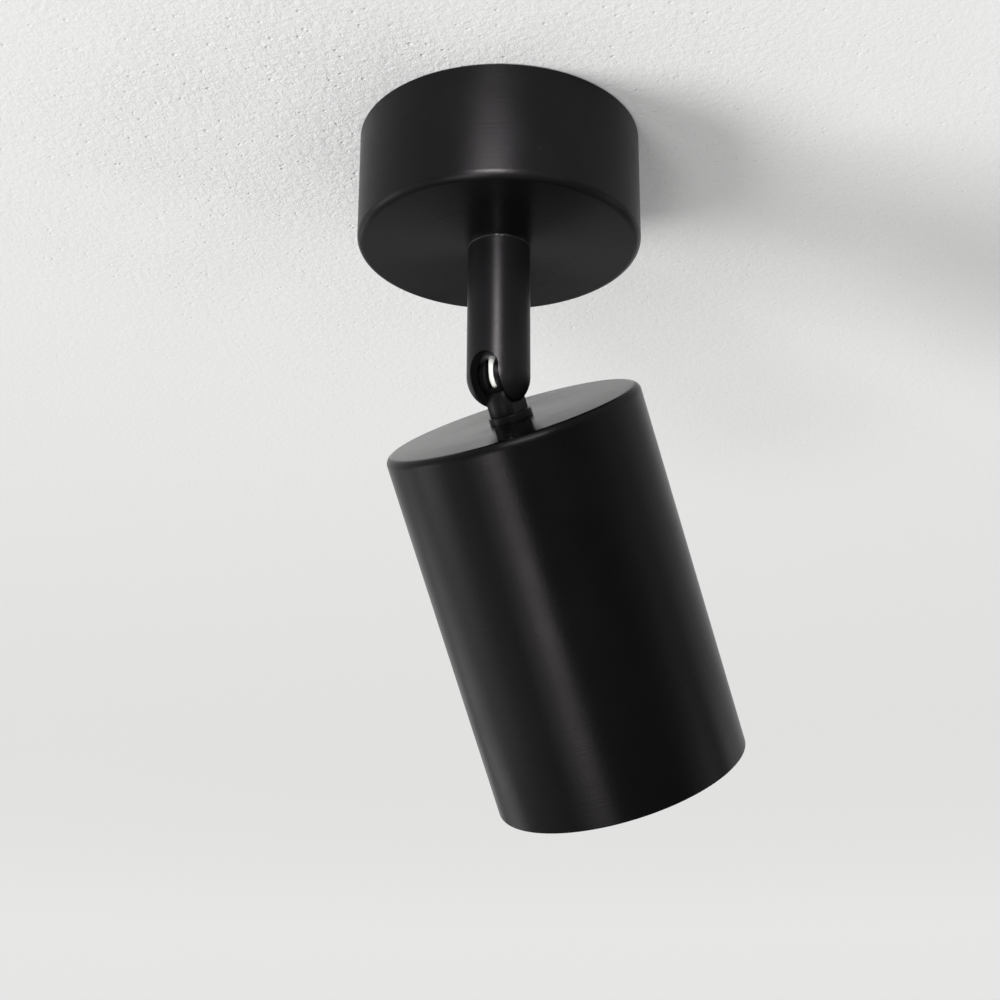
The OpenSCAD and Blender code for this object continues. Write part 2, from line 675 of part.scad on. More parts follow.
// Ceramic lampholder with two curved slots for the lamp's pins
module lampholder() color([0.9, 0.88, 0.83]) in_head() translate([0, 0, -holder_face]) difference() {
    union() {
        cylinder(r = holder_r, h = holder_h);
        translate([-holder_screw_x, -ear_r, holder_h - ear_t]) cube([2 * holder_screw_x, 2 * ear_r, ear_t]);
        for (s = [-1, 1]) translate([s * holder_screw_x, 0, holder_h - ear_t])
            cylinder(r = ear_r, h = ear_t);
    }
    translate([0, 0, face_t]) cylinder(r = cavity_r, h = cavity_d);
    for (s = [0, 180]) rotate([0, 0, s]) {
        for (a = [0, lamp_twist]) rotate([0, 0, a]) translate([pin_offset, 0, -eps])
            cylinder(r = (a == 0 ? pin_r : pin_head_r) + slot_clear, h = face_t + 2 * eps);
        rotate_extrude(angle = lamp_twist) translate([pin_offset - pin_r - slot_clear, -eps])
            square([2 * (pin_r + slot_clear), face_t + 2 * eps]);
        translate([pin_offset, 0, face_t]) cylinder(r = lead_r + 2 * fit, h = holder_h);
    }
    for (s = [-1, 1]) translate([s * holder_screw_x, 0, holder_h - ear_t - eps])
        cylinder(r = shade_screw_r + fit, h = ear_t + 2 * eps);
}

// Sprung contacts behind the pins
module holder_contacts() color([0.8, 0.6, 0.35]) in_head() for (s = [-1, 1])
    translate([s * pin_offset - contact_w / 2, -contact_l / 2, -holder_face + pin_neck + pin_head_t]) {
        cube([contact_w, contact_l, contact_t]);
        cube([contact_w, contact_t, cavity_d + face_t - pin_neck - pin_head_t]);
    }

// Core from the sleeve's end in the shade to a contact
module shade_core(side, angle) {
    x = side * pin_offset;
    e = core_spread * [cos(angle), sin(angle)];
    in_head() tube(smooth([[e.x, e.y, -sleeve_end], [e.x, e.y, -sleeve_end - 0.6],
        [e.x, e.y, -sleeve_end - 1.2], [e.x + 0.15 * x, e.y, -sleeve_end - 4],
        [1.25 * x, 0, -(sleeve_end + holder_back) / 2 - 1],
        [x, 0, -holder_back + 1.5], [x, 0, -holder_back - 1],
        [x, 0, -holder_back - holder_h + face_t + cavity_d + fit]], 4), lead_r, [0.02, 1, 0.03]);
}

module live_tail() color([0.35, 0.2, 0.1]) shade_core(-1, 150);
module neutral_tail() color([0.1, 0.25, 0.6]) shade_core(1, 30);

// Earth core from the sleeve's end back up to the tag
module earth_tail() color([0.45, 0.62, 0.12]) in_head() {
    tag_y = tag_len + tag_barrel;
    z = -washer_d - tag_drop;
    tube(smooth([[0, -core_spread, -sleeve_end], [0, -core_spread, -sleeve_end - 0.6],
        [0, -core_spread, -sleeve_end - 1.2], [0.3, -core_spread - 1, -sleeve_end - 3.5],
        [4, -5, -sleeve_end - 6.5], [11, -2, -sleeve_end - 7.5], [earth_tag_x + 2.4, 6, -sleeve_end - 4.5],
        [earth_tag_x + 1.4, tag_y + 4.6, z - 4.5], [earth_tag_x + 0.2, tag_y + 3.2, z - 0.6],
        [earth_tag_x, tag_y + 1, z], [earth_tag_x, tag_y, z],
        [earth_tag_x, tag_y - tag_barrel / 2, z]], 4), lead_r, [0.2, 0.3, 1]);
}

// Puts what follows on the lamp's seat, with +Z towards its face
module on_seat() in_head() translate([0, 0, -holder_face - seat_gap]) mirror([0, 0, 1]) children();

// Half section points of the reflector, from the cap to the face, grown outwards by an offset
function reflector(grow) = [for (i = [0 : 12]) let (t = i / 12)
    [cap_r - shell_t + grow + (lamp_r - cap_r) * sin(90 * t), cap_h + (reflector_h - cap_h) * t]];

// Base of the lamp with its flat seat
module lamp_cap() color([0.92, 0.92, 0.9]) on_seat() difference() {
    union() {
        cylinder(r = cap_r, h = cap_foot);
        translate([0, 0, cap_foot]) cylinder(r = cap_r - cap_step, h = cap_h - cap_foot);
    }
    for (s = [-1, 1]) translate([s * pin_offset, 0, -eps]) cylinder(r = pin_r + fit, h = cap_h / 2 + eps);
}

// Headed pins that lock in the holder
module lamp_pins() color([0.8, 0.8, 0.78]) on_seat() for (s = [-1, 1]) translate([s * pin_offset, 0, 0]) {
    translate([0, 0, -pin_neck]) cylinder(r = pin_r, h = pin_neck + cap_h / 2);
    translate([0, 0, -pin_neck - pin_head_t]) cylinder(r = pin_head_r, h = pin_head_t);
}

// Reflector shell
module lamp_body() color([0.88, 0.88, 0.88]) on_seat() difference() {
    rotate_extrude() polygon(concat([[0, cap_h]], reflector(shell_t), [[lamp_r, lamp_len], [0, lamp_len]]));
    rotate_extrude() polygon(concat([[0, cap_h + shell_t]], [for (p = reflector(0)) p + [0, shell_t]],
        [[lamp_r - shell_t, lamp_len + eps], [0, lamp_len + eps]]));
}

// Disc with its light sources
module lamp_board() color([0.95, 0.93, 0.8]) on_seat() {
    up = (board_h - shell_t - cap_h) / (reflector_h - cap_h);
    board_r = cap_r - shell_t - fit + (lamp_r - cap_r) * sin(90 * up);
    translate([0, 0, board_h]) cylinder(r = board_r, h = board_t);
    for (a = [0 : 60 : 300]) rotate([0, 0, a]) translate([board_r / 2, 0, board_h + board_t])
        cylinder(r = source_r, h = source_t);
}

// Glass over the reflector's mouth
module lamp_lens() color([0.85, 0.9, 0.92]) on_seat()
    translate([0, 0, lamp_len - glass_t]) cylinder(r = lamp_r - shell_t - fit, h = glass_t);

ceiling_bracket();
bracket_nuts();
canopy();
canopy_screws();
stop_pin();
terminal_block();
terminal_tubes();
terminal_screws();
block_screws();
earth_screw();
earth_tag();
earth_link();
live_lead();
neutral_lead();
earth_lead();
swivel_washer();
stem_tube();
stem_plug();
spacer_tube();
disc_springs();
pressure_ring();
wave_washer();
stop_washer();
stem_nut();
nipple_bush();
stem_sleeve();
joint_sleeve();
neck_sleeve();
ball_neck();
neck_collar();
shade();
lock_washer();
shade_nut();
stud_bush();
holder_bracket();
holder_screws();
lampholder();
holder_contacts();
live_tail();
neutral_tail();
earth_tail();
shade_earth_tag();
shade_earth_screw();
lamp_cap();
lamp_pins();
lamp_body();
lamp_board();
lamp_lens();
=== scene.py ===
import math

import bmesh
import bpy
from mathutils import Matrix, Vector


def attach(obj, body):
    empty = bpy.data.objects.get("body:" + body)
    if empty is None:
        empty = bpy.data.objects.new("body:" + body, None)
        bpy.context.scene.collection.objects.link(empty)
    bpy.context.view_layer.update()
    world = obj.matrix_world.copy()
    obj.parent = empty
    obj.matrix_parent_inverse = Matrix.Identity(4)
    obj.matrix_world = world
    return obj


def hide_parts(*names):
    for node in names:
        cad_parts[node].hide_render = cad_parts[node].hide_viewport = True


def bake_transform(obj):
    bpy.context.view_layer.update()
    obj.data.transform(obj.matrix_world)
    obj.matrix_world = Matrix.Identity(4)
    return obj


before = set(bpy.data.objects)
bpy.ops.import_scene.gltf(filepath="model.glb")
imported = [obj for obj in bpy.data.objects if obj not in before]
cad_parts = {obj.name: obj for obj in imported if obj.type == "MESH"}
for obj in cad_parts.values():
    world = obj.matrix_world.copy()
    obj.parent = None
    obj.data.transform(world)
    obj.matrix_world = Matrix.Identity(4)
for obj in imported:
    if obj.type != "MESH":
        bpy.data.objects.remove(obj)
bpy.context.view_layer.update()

# Camera
# It stands below the ceiling, about half a metre in front of the light, and looks up at it with a short
# telephoto lens, level and without shift.
MM = 0.001
eye = bpy.data.objects.new("camera", bpy.data.cameras.new("camera"))
eye.data.sensor_width = 36
eye.data.lens = 65.744
eye.matrix_world = (Matrix.Translation(Vector((14.14, -515.45, -315.61)) * MM)
                    @ Matrix.Rotation(math.radians(1.502), 4, "Z")
                    @ Matrix.Rotation(math.radians(110.407), 4, "X")
                    @ Matrix.Rotation(math.radians(0.232), 4, "Z"))
bpy.context.scene.collection.objects.link(eye)
bpy.context.scene.camera = eye


# Ceiling
# A skim coat of plaster under white emulsion, rough where it was filled round the outlet. It is open above
# the canopy and seen from below only, so that the fitting can be viewed from above. A weak glow stands for
# the light that the rest of the room throws on it.
def linear(code):
    """Linear red, green, blue and alpha of an sRGB hex colour."""
    parts = [int(code[i:i + 2], 16) / 255 for i in (1, 3, 5)]
    return [c / 12.92 if c <= 0.04045 else ((c + 0.055) / 1.055) ** 2.4 for c in parts] + [1.0]


def new_material(name):
    """An empty node material."""
    finish = bpy.data.materials.new(name)
    finish.use_nodes = True
    finish.node_tree.nodes.clear()
    return finish


def add_node(finish, kind, inputs=None, **settings):
    """Adds a node with its settings; each input gets a value, or a link from another node's output."""
    node = finish.node_tree.nodes.new("ShaderNode" + kind)
    for name, value in settings.items():
        setattr(node, name, value)
    for name, value in (inputs or {}).items():
        if isinstance(value, bpy.types.NodeSocket):
            finish.node_tree.links.new(value, node.inputs[name])
        else:
            node.inputs[name].default_value = value
    return node


def shape(name, points, faces, place=Matrix.Identity(4), smooth_below=35):
    """A mesh piece from points in millimetres, put in its place; edges sharper than the angle stay sharp."""
    mesh = bpy.data.meshes.new(name)
    mesh.from_pydata([place @ (Vector(p) * MM) for p in points], [], faces)
    mesh.validate()
    skin = bmesh.new()
    skin.from_mesh(mesh)
    bmesh.ops.recalc_face_normals(skin, faces=skin.faces)
    skin.to_mesh(mesh)
    skin.free()
    mesh.shade_smooth()
    mesh.set_sharp_from_angle(angle=math.radians(smooth_below))
    piece = bpy.data.objects.new(name, mesh)
    bpy.context.scene.collection.objects.link(piece)
    return piece


plaster = new_material("white_emulsion_on_plaster")
grain_at = add_node(plaster, "TexCoord").outputs["Object"]
# grains of sand 2.6 mm apart, coarser than real, with finer ones between, waves of the trowel 60 mm long, and
# small pits 5 mm apart
grain = add_node(plaster, "TexNoise", {"Vector": grain_at, "Scale": 1 / (2.6 * MM), "Detail": 5,
                                       "Roughness": 0.72, "Distortion": 0.25}).outputs["Fac"]
trowel = add_node(plaster, "TexNoise", {"Vector": grain_at, "Scale": 1 / (60 * MM),
                                        "Detail": 2}).outputs["Fac"]
pit_at = add_node(plaster, "TexVoronoi", {"Vector": grain_at, "Scale": 1 / (5 * MM)}).outputs["Distance"]
pits = add_node(plaster, "MapRange", {"Value": pit_at, "From Min": 0.05, "From Max": 0.16, "To Min": -0.5,
                                      "To Max": 0}).outputs[0]
uneven = add_node(plaster, "Math", {0: grain, 1: trowel}, operation="ADD").outputs[0]
relief = add_node(plaster, "Math", {0: uneven, 1: pits}, operation="ADD").outputs[0]
# roughest left of the outlet, where it was filled, half as rough 100 mm away, and patchy, in patches of 50 mm
filled_at = (-35 * MM, -10 * MM, 0)
from_filling = add_node(plaster, "VectorMath", {0: grain_at, 1: filled_at},
                        operation="DISTANCE").outputs["Value"]
in_halves = add_node(plaster, "Math", {0: from_filling, 1: 100 * MM}, operation="DIVIDE").outputs[0]
fading = add_node(plaster, "Math", {0: in_halves, 1: 1.5}, operation="POWER").outputs[0]
faded = add_node(plaster, "Math", {0: fading, 1: 1}, operation="ADD").outputs[0]
rubbed_down = add_node(plaster, "Math", {0: 0.95, 1: faded}, operation="DIVIDE").outputs[0]
patch = add_node(plaster, "TexNoise", {"Vector": grain_at, "Scale": 1 / (50 * MM),
                                       "Detail": 2}).outputs["Fac"]
patchy = add_node(plaster, "MapRange", {"Value": patch, "From Min": 0.35, "From Max": 0.65, "To Min": 0.85,
                                        "To Max": 1.12}).outputs[0]
rough_here = add_node(plaster, "Math", {0: rubbed_down, 1: patchy}, operation="MULTIPLY").outputs[0]
bumps = add_node(plaster, "Bump", {"Height": relief, "Strength": rough_here, "Distance": 0.0018}).outputs[0]
# the glow grows from 0.4 m to 2 m away from the outlet, as the lights near the fitting fall off
from_outlet = add_node(plaster, "VectorMath", {0: grain_at}, operation="LENGTH").outputs["Value"]
glow = add_node(plaster, "MapRange", {"Value": from_outlet, "From Min": 0.4, "From Max": 2, "To Min": 0.092,
                                      "To Max": 0.208}).outputs[0]
emulsion = add_node(plaster, "BsdfPrincipled", {"Base Color": linear("#e9e9e8"), "Roughness": 0.85,
                                                "Normal": bumps, "Emission Color": linear("#ffffff"),
                                                "Emission Strength": glow}).outputs[0]
open_side = add_node(plaster, "BsdfTransparent").outputs[0]
above = add_node(plaster, "NewGeometry").outputs["Backfacing"]
one_sided = add_node(plaster, "MixShader", {0: above, 1: emulsion, 2: open_side}).outputs[0]
add_node(plaster, "OutputMaterial", {"Surface": one_sided})

# it lies 0.2 mm above the canopy's edge, so that the two don't share a plane, and its front faces down
opening_radius, reach, clear_of_canopy, corners = 43.8, 9000, 0.2, 128
rims = [(radius * math.cos(2 * math.pi * k / corners), radius * math.sin(2 * math.pi * k / corners),
         clear_of_canopy) for radius in (opening_radius, reach) for k in range(corners)]
ceiling = shape("ceiling", rims, [(k, (k + 1) % corners, corners + (k + 1) % corners, corners + k)
                                  for k in range(corners)])
if any(face.normal.z > 0 for face in ceiling.data.polygons):
    ceiling.data.flip_normals()
ceiling.data.materials.append(plaster)


# Ceiling bracket and its clinch nuts
# Blanked and bent from zinc plated steel strip. The nuts are pressed into the bent ends. It is screwed to
# the ceiling first, and carries everything else.
def coat(names, finish):
    """Puts one material on CAD pieces."""
    for name in names:
        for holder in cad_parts[name].material_slots:
            holder.material = finish


def bare_metal(finish, tarnish, darker, lighter, wear, shiniest, dullest, relief=None):
    """Metal without paint: its colour goes with one pattern, and how dull it is with another."""
    tone = add_node(finish, "ValToRGB", {"Fac": tarnish}).outputs["Color"]
    tone.node.color_ramp.elements[0].color = linear(darker)
    tone.node.color_ramp.elements[1].color = linear(lighter)
    dull = add_node(finish, "MapRange", {"Value": wear, "To Min": shiniest, "To Max": dullest}).outputs[0]
    body = {"Base Color": tone, "Metallic": 1.0, "Roughness": dull}
    if relief is not None:
        body["Normal"] = relief
    metal = add_node(finish, "BsdfPrincipled", body).outputs[0]
    add_node(finish, "OutputMaterial", {"Surface": metal})


zinc = new_material("zinc_plated_steel")
zinc_at = add_node(zinc, "TexCoord").outputs["Object"]
# crystals of the zinc 1.1 mm wide, and lines from drawing the strip 0.4 mm apart and 16 mm long, both
# coarser than real
spangle = add_node(zinc, "TexVoronoi", {"Vector": zinc_at, "Scale": 1 / (1.1 * MM)}).outputs["Distance"]
drawn = add_node(zinc, "Mapping", {"Vector": zinc_at, "Scale": (1 / (16 * MM), 1 / (0.4 * MM),
                                                                1 / (0.4 * MM))}).outputs[0]
drawn_lines = add_node(zinc, "TexNoise", {"Vector": drawn, "Scale": 1, "Detail": 3}).outputs["Fac"]
zinc_bump = add_node(zinc, "Bump", {"Height": drawn_lines, "Strength": 0.25, "Distance": 0.00004}).outputs[0]
bare_metal(zinc, spangle, "#a9adb0", "#c6c9cb", drawn_lines, 0.28, 0.5, zinc_bump)
coat(["ceiling_bracket", "bracket_nuts", "stop_pin", "block_screws", "terminal_screws", "wave_washer",
      "stop_washer", "lock_washer", "holder_bracket", "holder_screws", "spacer_tube", "earth_tag",
      "shade_earth_tag"], zinc)


# Three pole connector
# A moulded polyamide block with brass tubes and slotted clamp screws, held under the bracket by two screws.
def plastic(name, colour, shade_of, rough, grain_mm, depth_mm, specular=0.5):
    """Moulded or extruded plastic: its colour varies a little, and its skin has a grain, drawn coarser than
    real."""
    finish = new_material(name)
    at = add_node(finish, "TexCoord").outputs["Object"]
    skin_at = {"Vector": at, "Scale": 1 / (grain_mm * MM), "Detail": 4}
    skin = add_node(finish, "TexNoise", skin_at).outputs["Fac"]
    cloud = add_node(finish, "TexNoise", {"Vector": at, "Scale": 1 / (6 * MM), "Detail": 2}).outputs["Fac"]
    tone = add_node(finish, "ValToRGB", {"Fac": cloud}).outputs["Color"]
    tone.node.color_ramp.elements[0].color = linear(shade_of)
    tone.node.color_ramp.elements[1].color = linear(colour)
    tone.node.color_ramp.elements[0].position, tone.node.color_ramp.elements[1].position = 0.3, 0.7
    relief = add_node(finish, "Bump", {"Height": skin, "Strength": 0.3, "Distance": depth_mm * MM}).outputs[0]
    dull = add_node(finish, "MapRange", {"Value": skin, "To Min": rough - 0.06,
                                         "To Max": rough + 0.06}).outputs[0]
    body = add_node(finish, "BsdfPrincipled", {"Base Color": tone, "Roughness": dull, "Normal": relief,
                                               "Specular IOR Level": specular}).outputs[0]
    add_node(finish, "OutputMaterial", {"Surface": body})
    return finish


polyamide = plastic("moulded_polyamide", "#efece0", "#e2dfd2", 0.5, 0.5, 0.01)
coat(["terminal_block"], polyamide)

brass = new_material("turned_brass")
brass_at = add_node(brass, "TexCoord").outputs["Object"]
# cuts of the tool 0.55 mm apart, coarser than real, and tarnish in patches of 6 mm
cuts = add_node(brass, "TexNoise", {"Vector": brass_at, "Scale": 1 / (0.55 * MM), "Detail": 2}).outputs["Fac"]
tarnish = add_node(brass, "TexNoise", {"Vector": brass_at, "Scale": 1 / (6 * MM), "Detail": 4}).outputs["Fac"]
brass_bump = add_node(brass, "Bump", {"Height": cuts, "Strength": 0.2, "Distance": 0.00003}).outputs[0]
bare_metal(brass, tarnish, "#a98a48", "#d2b672", tarnish, 0.22, 0.42, brass_bump)
coat(["terminal_tubes", "earth_screw", "stem_plug", "stem_nut", "shade_nut", "shade_earth_screw",
      "holder_contacts"], brass)


# Cores in the canopy and in the shade
# Stranded copper in silicone rubber: brown for live, blue for neutral, green for earth.
brown = plastic("silicone_core_brown", "#5a3821", "#4c2e1a", 0.42, 0.4, 0.01)
blue = plastic("silicone_core_blue", "#2453a4", "#1c4590", 0.42, 0.4, 0.01)
coat(["live_lead", "live_tail"], brown)
coat(["neutral_lead", "neutral_tail"], blue)
earth = plastic("silicone_core_green", "#6f9a2a", "#5d8522", 0.42, 0.4, 0.01)
coat(["earth_lead", "earth_link", "earth_tail"], earth)


# Canopy
# A cup turned or spun from 1.5 mm metal, with a 2.5 mm radius at its lower edge, and painted satin black
# inside and out. Two countersunk screws hold it to the bracket.
def arc(x, z, radius, first, last, steps=12):
    """Points on an arc in a section, between two angles in degrees."""
    return [(x + radius * math.cos(math.radians(first + (last - first) * k / steps)),
             z + radius * math.sin(math.radians(first + (last - first) * k / steps)))
            for k in range(steps + 1)]


def turned(name, section, place=Matrix.Identity(4), turns=240, closed=True, smooth_below=35):
    """Turns a section of (radius, height) points about the axis; points on the axis become one point."""
    points, rows = [], []
    for radius, height in section:
        if radius < 1e-6:
            rows.append([len(points)] * turns)
            points.append((0, 0, height))
        else:
            rows.append([len(points) + k for k in range(turns)])
            angles = [2 * math.pi * k / turns for k in range(turns)]
            points += [(radius * math.cos(a), radius * math.sin(a), height) for a in angles]
    faces = []
    pairs = list(zip(rows, rows[1:] + rows[:1])) if closed else list(zip(rows, rows[1:]))
    for low, high in pairs:
        for k in range(turns):
            corner = (low[k], low[(k + 1) % turns], high[(k + 1) % turns], high[k])
            face = tuple(dict.fromkeys(corner))
            if len(face) > 2:
                faces.append(face)
    return shape(name, points, faces, place, smooth_below)


def satin_coat(name, colour, lighter, rough, middle=(0, 0, 0), axis=(0, 0, 1), smooth_above=1.0):
    """Thin satin paint on turned or spun metal: the tool's rings show through and draw out the highlights.
    Above a height on the axis, in metres, the metal is pressed flat and smoother."""
    finish = new_material(name)
    at = add_node(finish, "TexCoord").outputs["Object"]
    # rings of the tool round the piece's own axis, 0.9 mm from crest to crest, coarser than real
    from_middle = add_node(finish, "VectorMath", {0: at, 1: middle}, operation="SUBTRACT").outputs[0]
    height = add_node(finish, "VectorMath", {0: from_middle, 1: axis},
                      operation="DOT_PRODUCT").outputs["Value"]
    along_axis = add_node(finish, "VectorMath", {0: axis, "Scale": height}, operation="SCALE").outputs[0]
    outwards = add_node(finish, "VectorMath", {0: from_middle, 1: along_axis},
                        operation="SUBTRACT").outputs[0]
    radius = add_node(finish, "VectorMath", {0: outwards}, operation="LENGTH").outputs["Value"]
    ring_at = add_node(finish, "CombineXYZ", {"X": height, "Y": radius}).outputs[0]
    rings = add_node(finish, "TexNoise", {"Vector": ring_at, "Scale": 1 / (0.9 * MM),
                                          "Detail": 3}).outputs["Fac"]
    # flow of the paint over the rings, about 1.2 mm from crest to crest
    peel = add_node(finish, "TexNoise", {"Vector": at, "Scale": 1 / (1.2 * MM), "Detail": 3}).outputs["Fac"]
    # cloudy patches of 18 mm where it was handled, and specks of dust about 9 mm apart
    rubbed = add_node(finish, "TexNoise", {"Vector": at, "Scale": 1 / (18 * MM), "Detail": 3}).outputs["Fac"]
    dust = add_node(finish, "TexVoronoi", {"Vector": at, "Scale": 1 / (9 * MM)}).outputs["Distance"]
    speck = add_node(finish, "MapRange", {"Value": dust, "From Min": 0.015, "From Max": 0.03, "To Min": 1,
                                          "To Max": 0}).outputs[0]
    tone = add_node(finish, "ValToRGB", {"Fac": rubbed}).outputs["Color"]
    tone.node.color_ramp.elements[0].color = linear(colour)
    tone.node.color_ramp.elements[1].color = linear(lighter)
    dusted = add_node(finish, "MixRGB", {"Fac": speck, "Color1": tone,
                                         "Color2": linear("#1c1c1d")}).outputs[0]
    relief = add_node(finish, "Math", {0: rings, 1: 1.6, 2: peel}, operation="MULTIPLY_ADD").outputs[0]
    bumps = add_node(finish, "Bump", {"Height": relief, "Strength": 0.45, "Distance": 0.00006}).outputs[0]
    spun = add_node(finish, "MapRange", {"Value": rubbed, "From Min": 0.3, "From Max": 0.7,
                                         "To Min": rough - 0.03, "To Max": rough + 0.03}).outputs[0]
    pressed = add_node(finish, "Math", {0: height, 1: smooth_above}, operation="GREATER_THAN").outputs[0]
    dull = add_node(finish, "Math", {0: pressed, 1: -0.2, 2: spun}, operation="MULTIPLY_ADD").outputs[0]
    round_axis = add_node(finish, "VectorMath", {0: axis, 1: from_middle},
                          operation="CROSS_PRODUCT").outputs[0]
    tangent = add_node(finish, "VectorTransform", {"Vector": round_axis}, vector_type="VECTOR",
                       convert_from="OBJECT", convert_to="WORLD").outputs[0]
    body = add_node(finish, "BsdfPrincipled", {"Base Color": dusted, "Roughness": dull, "Normal": bumps,
                                               "Specular IOR Level": 0.1,
                                               "Specular Tint": linear("#fff7fb"), "Anisotropic": 0.75,
                                               "Anisotropic Rotation": 0.25, "Tangent": tangent}).outputs[0]
    add_node(finish, "OutputMaterial", {"Surface": body})
    return finish


def cut(piece, tool):
    """Takes the tool's volume out of a piece."""
    bite = piece.modifiers.new("cut", "BOOLEAN")
    bite.operation, bite.solver, bite.object = "DIFFERENCE", "EXACT", tool
    graph = bpy.context.evaluated_depsgraph_get()
    result = bpy.data.meshes.new_from_object(piece.evaluated_get(graph))
    piece.modifiers.clear()
    piece.data = result
    tool_mesh = tool.data
    bpy.data.objects.remove(tool)
    bpy.data.meshes.remove(tool_mesh)
    piece.data.shade_smooth()
    piece.data.set_sharp_from_angle(angle=math.radians(35))


satin_black = satin_coat("satin_black_paint", "#030303", "#060607", 0.36)
canopy_radius, canopy_height, canopy_wall, canopy_bend = 45, 38.5, 1.5, 2.5
nipple_hole, rim_break, hole_break = 5.08, 0.3, 0.2
bend_at = (canopy_radius - canopy_bend, canopy_bend - canopy_height)
canopy_inside = canopy_radius - canopy_wall
canopy_section = ([(canopy_radius - rim_break, 0)]
                  + arc(canopy_radius - rim_break, -rim_break, rim_break, 90, 0, 3)
                  + arc(*bend_at, canopy_bend, 0, -90, 16)
                  + [(20, -canopy_height), (5.3, -canopy_height)]
                  + arc(nipple_hole + hole_break, hole_break - canopy_height, hole_break, 270, 180, 3)
                  + [(nipple_hole, canopy_wall - canopy_height), (20, canopy_wall - canopy_height)]
                  + arc(*bend_at, canopy_bend - canopy_wall, 270, 360, 8)
                  + [(canopy_inside, -0.2), (canopy_inside + 0.2, 0)])
canopy = turned("canopy_cup", canopy_section)
# a hole for each side screw, sunk to the screw's head, 8 mm under the ceiling
sink_radius, hole_radius, sink_depth, screw_drop = 3.05, 1.55, 1.4, 8
sink_section = [(0, -1), (sink_radius, -1), (sink_radius, 0), (hole_radius, sink_depth), (hole_radius, 3),
                (0, 3)]
for side in (-1, 1):
    aim = (Matrix.Translation((side * canopy_radius * MM, 0, -screw_drop * MM))
           @ Matrix.Rotation(side * math.radians(-90), 4, "Y"))
    cut(canopy, turned("countersink", sink_section, aim, 48, False))
canopy.data.materials.append(satin_black)
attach(canopy, "root")
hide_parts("canopy")

screw_black = satin_coat("blackened_steel", "#0c0c0d", "#121213", 0.35)
coat(["canopy_screws"], screw_black)


# Washer between canopy and stem
# Thin spring steel, coloured a dark grey. It is pressed between the canopy's floor and the stem's end.
spring_steel = new_material("dark_spring_steel")
spring_at = add_node(spring_steel, "TexCoord").outputs["Object"]
# the film of oil lies in patches of 3 mm
oil = add_node(spring_steel, "TexNoise", {"Vector": spring_at, "Scale": 1 / (3 * MM),
                                          "Detail": 3}).outputs["Fac"]
bare_metal(spring_steel, oil, "#6c6c6e", "#808082", oil, 0.35, 0.5)
coat(["swivel_washer"], spring_steel)


# Stem
# Turned from steel bar, bored for the swivel's springs, rounded at its end and milled with a slot for the
# neck, then painted like the canopy. Its hollow nipple goes through the canopy and takes the nut.
def break_edges(piece, width):
    """Rounds off the sharp edges of a piece, as filing does."""
    edge = piece.modifiers.new("broken_edges", "BEVEL")
    edge.width, edge.segments, edge.limit_method, edge.angle_limit = width * MM, 2, "ANGLE", math.radians(40)
    edge.harden_normals = True


coat(["pressure_ring", "disc_springs"], zinc)
# heights are from the centre of the swivel's ball, and the slot runs the way that the shade leans
pivot_z, lean_direction = -83.25, 60.5
pivot = (0, 0, pivot_z * MM)
ball = Matrix.Translation(pivot)
to_lean = Matrix.Rotation(math.radians(lean_direction), 4, "Z")
stem_radius, stem_top, bore_radius, seat_radius, stem_break = 9.9, 44.05, 6.6, 6.55, 0.2
stem_section = ([(bore_radius, stem_top), (stem_radius - stem_break, stem_top)]
                + arc(stem_radius - stem_break, stem_top - stem_break, stem_break, 90, 0, 3)
                + [(stem_radius, 20)] + arc(0, 0, stem_radius, 0, -90, 40)[:-1]
                + [(0, -stem_radius), (0, -seat_radius)] + arc(0, 0, seat_radius, -90, 0, 24)[1:]
                + [(bore_radius, 0)])
stem = turned("stem_bar", stem_section, ball @ to_lean, 192)
# the cutter for the slot has a round top, and reaches past the stem below and at both sides
slot_half, cutter_end, cutter_reach = 5, -12, 14
arch = [(slot_half * math.cos(math.radians(a)), slot_half * math.sin(math.radians(a)))
        for a in range(0, 181, 5)] + [(-slot_half, cutter_end), (slot_half, cutter_end)]
n = len(arch)
slot_points = [(x, y, z) for x in (-cutter_reach, cutter_reach) for y, z in arch]
slot_faces = [tuple(range(n)), tuple(range(2 * n - 1, n - 1, -1))] + [
    (k, n + k, n + (k + 1) % n, (k + 1) % n) for k in range(n)]
cut(stem, shape("slot_cutter", slot_points, slot_faces, ball @ to_lean))
break_edges(stem, 0.22)
stem.data.materials.append(satin_black)
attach(stem, "stem")
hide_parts("stem_tube")

bush_white = plastic("moulded_bush", "#ece9df", "#dfdcd2", 0.5, 0.5, 0.01)
coat(["nipple_bush", "stud_bush"], bush_white)


# Ball, neck and collar
# Turned in one piece with its hollow stud, milled flat on two sides, and sawn through the ball for the
# sleeve. It is blackened, and the thin collar under it spreads the load on the shade's top.
lean = 35.3
leaning = Matrix.Rotation(math.radians(-lean), 4, "Y")
head = ball @ to_lean @ leaning
ball_radius, wire_hole, stud_radius, stud_end, neck_break = 6.4, 2.75, 4.95, -22.6, 0.2
neck_radius, shoulder_z, saw_floor, saw_half, flat_half, past_neck = 6.5, -11.6, -2.2, 1.7, 4.2, 9
neck_section = ([(wire_hole, stud_end), (stud_radius - neck_break, stud_end),
                 (stud_radius, stud_end + neck_break), (stud_radius, shoulder_z)]
                + arc(neck_radius - neck_break, shoulder_z + neck_break, neck_break, -90, 0, 3)
                + [(neck_radius, -6.5), (5.0, -4.0)] + arc(0, 0, ball_radius, -38.5, 90, 40)[:-1]
                + [(0, ball_radius), (0, saw_floor), (4.6, saw_floor), (wire_hole, -6)])
neck = turned("ball_and_neck", neck_section, head, 144)
